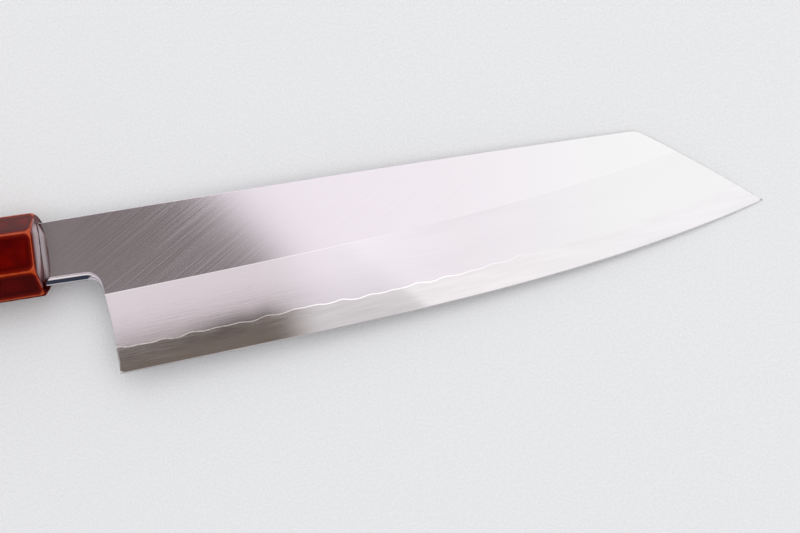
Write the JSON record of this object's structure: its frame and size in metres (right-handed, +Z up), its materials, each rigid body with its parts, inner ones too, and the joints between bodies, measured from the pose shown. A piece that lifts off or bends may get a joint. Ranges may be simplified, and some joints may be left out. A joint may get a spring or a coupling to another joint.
{
  "type": "kiritsuke knife",
  "caption": "Kitchen knife lying on its side: a laminated steel blade with a clipped point and wide bevels, its tang set in a lacquered octagonal wooden handle with a ferrule.",
  "frame": {"origin": "middle of the knife's floor rectangle, on the surface that it lies on", "axes": "+X along the knife from the handle's butt to the point, +Y from the cutting edge towards the spine, +Z up, out of the right side of the blade. The knife's own length axis dips 2.63 degrees towards the point, because it rests on the handle's front bevel and on the point"},
  "size_m": [0.347, 0.0512, 0.0265],
  "materials": {
    "core_steel": "hard carbon steel, fine lengthwise scratches, near mirror",
    "cladding_steel": "soft steel, satin: slanting scratches on the flats, fine lengthwise haze on the bevels",
    "lacquered_ferrule": "translucent dark red lacquer over orange, glossy, orange rubbed through along every edge",
    "lacquered_wood": "the same dark red lacquer over orange, glossy",
    "bare_wood": "bare pale wood",
    "resin": "set resin"
  },
  "bodies": {
    "root": {"core_steel": "core_steel", "right_cladding": "cladding_steel", "left_cladding": "cladding_steel", "ferrule": "lacquered_ferrule", "handle_body": "lacquered_wood", "tang_dowel": "bare_wood", "tang_resin": "resin"}
  },
  "joints": []
}
